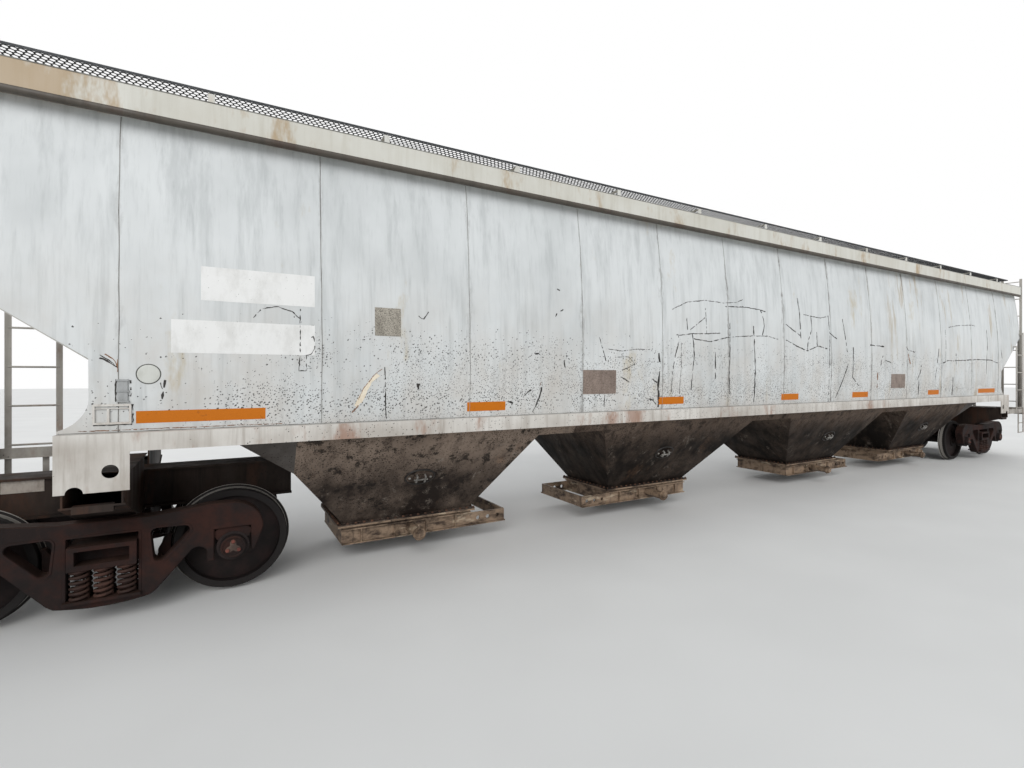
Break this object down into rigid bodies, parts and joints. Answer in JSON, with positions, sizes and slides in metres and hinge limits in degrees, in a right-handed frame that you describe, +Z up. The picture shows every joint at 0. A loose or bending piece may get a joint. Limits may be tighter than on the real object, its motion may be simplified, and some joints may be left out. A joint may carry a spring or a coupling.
{
  "type": "covered hopper wagon",
  "caption": "Long covered hopper wagon with curved sides, roof hatches, sloping hoppers, pneumatic outlets and freight bogies.",
  "frame": {"origin": "on the floor under the middle of the wagon, level with the wheel flange tips, 26 mm under rail level", "axes": "+X along the wagon towards its A end, +Y across to the far side, +Z up; the near side of the picture is -Y"},
  "size_m": [20.614, 3.08, 4.5868],
  "materials": {
    "body_paint": "worn satin paint",
    "bogie_iron": "rusty cast steel",
    "brake_gear": "dirty matt paint",
    "coupler_iron": "rusty cast steel",
    "frame_paint": "worn satin paint",
    "hopper_paint": "dirty matt paint",
    "lid_paint": "weathered matt paint",
    "outlet_alloy": "dirty cast alloy",
    "roof_paint": "weathered matt paint",
    "sill_paint": "worn satin paint",
    "spring_steel": "rusty spring steel",
    "walk_steel": "weathered galvanised mesh",
    "wheel_steel": "rusty forged steel with a bright tread"
  },
  "bodies": {
    "wagon_body": {"air_brake_gear": "brake_gear", "board_posts_far": "frame_paint", "board_posts_near": "frame_paint", "body_bolster_a": "frame_paint", "body_bolster_b": "frame_paint", "crossovers": "walk_steel", "draft_sill_a": "frame_paint", "draft_sill_b": "frame_paint", "eave_far": "body_paint", "eave_near": "body_paint", "end_platform_a": "frame_paint", "end_platform_b": "frame_paint", "end_posts_a": "frame_paint", "end_posts_b": "frame_paint", "end_slope_a": "body_paint", "end_slope_b": "body_paint", "end_wall_a": "body_paint", "end_wall_b": "body_paint", "hand_brake": "brake_gear", "hopper_1": "hopper_paint", "hopper_2": "hopper_paint", "hopper_3": "hopper_paint", "hopper_4": "hopper_paint", "ladders_a": "frame_paint", "ladders_b": "frame_paint", "outlet_1": "outlet_alloy", "outlet_2": "outlet_alloy", "outlet_3": "outlet_alloy", "outlet_4": "outlet_alloy", "roof": "roof_paint", "running_board_far": "walk_steel", "running_board_near": "walk_steel", "side_sheet_far": "body_paint", "side_sheet_near": "body_paint", "side_sill_far": "sill_paint", "side_sill_near": "sill_paint"},
    "bogie_a": {"bogie_bolster_a": "bogie_iron", "brake_beams_a": "bogie_iron", "side_frame_far_a": "bogie_iron", "side_frame_near_a": "bogie_iron", "springs_a": "spring_steel"},
    "bogie_b": {"bogie_bolster_b": "bogie_iron", "brake_beams_b": "bogie_iron", "side_frame_far_b": "bogie_iron", "side_frame_near_b": "bogie_iron", "springs_b": "spring_steel"},
    "wheelset_1": {"wheelset_1": "wheel_steel"},
    "wheelset_2": {"wheelset_2": "wheel_steel"},
    "wheelset_3": {"wheelset_3": "wheel_steel"},
    "wheelset_4": {"wheelset_4": "wheel_steel"},
    "coupler_a": {"coupler_a": "coupler_iron"},
    "coupler_b": {"coupler_b": "coupler_iron"},
    "hatch_lid_1": {"hatch_lid_1": "lid_paint"},
    "hatch_lid_2": {"hatch_lid_2": "lid_paint"},
    "hatch_lid_3": {"hatch_lid_3": "lid_paint"},
    "hatch_lid_4": {"hatch_lid_4": "lid_paint"},
    "hatch_lid_5": {"hatch_lid_5": "lid_paint"},
    "hatch_lid_6": {"hatch_lid_6": "lid_paint"},
    "hatch_lid_7": {"hatch_lid_7": "lid_paint"},
    "hatch_lid_8": {"hatch_lid_8": "lid_paint"}
  },
  "joints": [
    {"name": "bogie_a_swivel", "type": "hinge", "parent": "wagon_body", "child": "bogie_a", "pos_m": [8.23, 0, 0.68], "axis": [0, 0, 1], "range_deg": [-5, 5]},
    {"name": "bogie_b_swivel", "type": "hinge", "parent": "wagon_body", "child": "bogie_b", "pos_m": [-8.23, 0, 0.68], "axis": [0, 0, 1], "range_deg": [-5, 5]},
    {"name": "wheelset_1_spin", "type": "hinge", "parent": "bogie_a", "child": "wheelset_1", "pos_m": [9.119, 0, 0.483], "axis": [0, 1, 0], "continuous": true},
    {"name": "wheelset_2_spin", "type": "hinge", "parent": "bogie_a", "child": "wheelset_2", "pos_m": [7.341, 0, 0.483], "axis": [0, 1, 0], "continuous": true},
    {"name": "wheelset_3_spin", "type": "hinge", "parent": "bogie_b", "child": "wheelset_3", "pos_m": [-7.341, 0, 0.483], "axis": [0, 1, 0], "continuous": true},
    {"name": "wheelset_4_spin", "type": "hinge", "parent": "bogie_b", "child": "wheelset_4", "pos_m": [-9.119, 0, 0.483], "axis": [0, 1, 0], "continuous": true},
    {"name": "coupler_a_swing", "type": "hinge", "parent": "wagon_body", "child": "coupler_a", "pos_m": [9.533, 0, 0.902], "axis": [0, 0, 1], "range_deg": [-7, 7]},
    {"name": "coupler_b_swing", "type": "hinge", "parent": "wagon_body", "child": "coupler_b", "pos_m": [-9.533, 0, 0.902], "axis": [0, 0, 1], "range_deg": [-7, 7]},
    {"name": "hatch_lid_1_hinge", "type": "hinge", "parent": "wagon_body", "child": "hatch_lid_1", "pos_m": [-6.6675, 0.345, 4.557], "axis": [-1, 0, 0], "range_deg": [0, 100]},
    {"name": "hatch_lid_2_hinge", "type": "hinge", "parent": "wagon_body", "child": "hatch_lid_2", "pos_m": [-4.7625, 0.345, 4.557], "axis": [-1, 0, 0], "range_deg": [0, 100]},
    {"name": "hatch_lid_3_hinge", "type": "hinge", "parent": "wagon_body", "child": "hatch_lid_3", "pos_m": [-2.8575, 0.345, 4.557], "axis": [-1, 0, 0], "range_deg": [0, 100]},
    {"name": "hatch_lid_4_hinge", "type": "hinge", "parent": "wagon_body", "child": "hatch_lid_4", "pos_m": [-0.9525, 0.345, 4.557], "axis": [-1, 0, 0], "range_deg": [0, 100]},
    {"name": "hatch_lid_5_hinge", "type": "hinge", "parent": "wagon_body", "child": "hatch_lid_5", "pos_m": [0.9525, 0.345, 4.557], "axis": [-1, 0, 0], "range_deg": [0, 100]},
    {"name": "hatch_lid_6_hinge", "type": "hinge", "parent": "wagon_body", "child": "hatch_lid_6", "pos_m": [2.8575, 0.345, 4.557], "axis": [-1, 0, 0], "range_deg": [0, 100]},
    {"name": "hatch_lid_7_hinge", "type": "hinge", "parent": "wagon_body", "child": "hatch_lid_7", "pos_m": [4.7625, 0.345, 4.557], "axis": [-1, 0, 0], "range_deg": [0, 100]},
    {"name": "hatch_lid_8_hinge", "type": "hinge", "parent": "wagon_body", "child": "hatch_lid_8", "pos_m": [6.6675, 0.345, 4.557], "axis": [-1, 0, 0], "range_deg": [0, 100]}
  ]
}
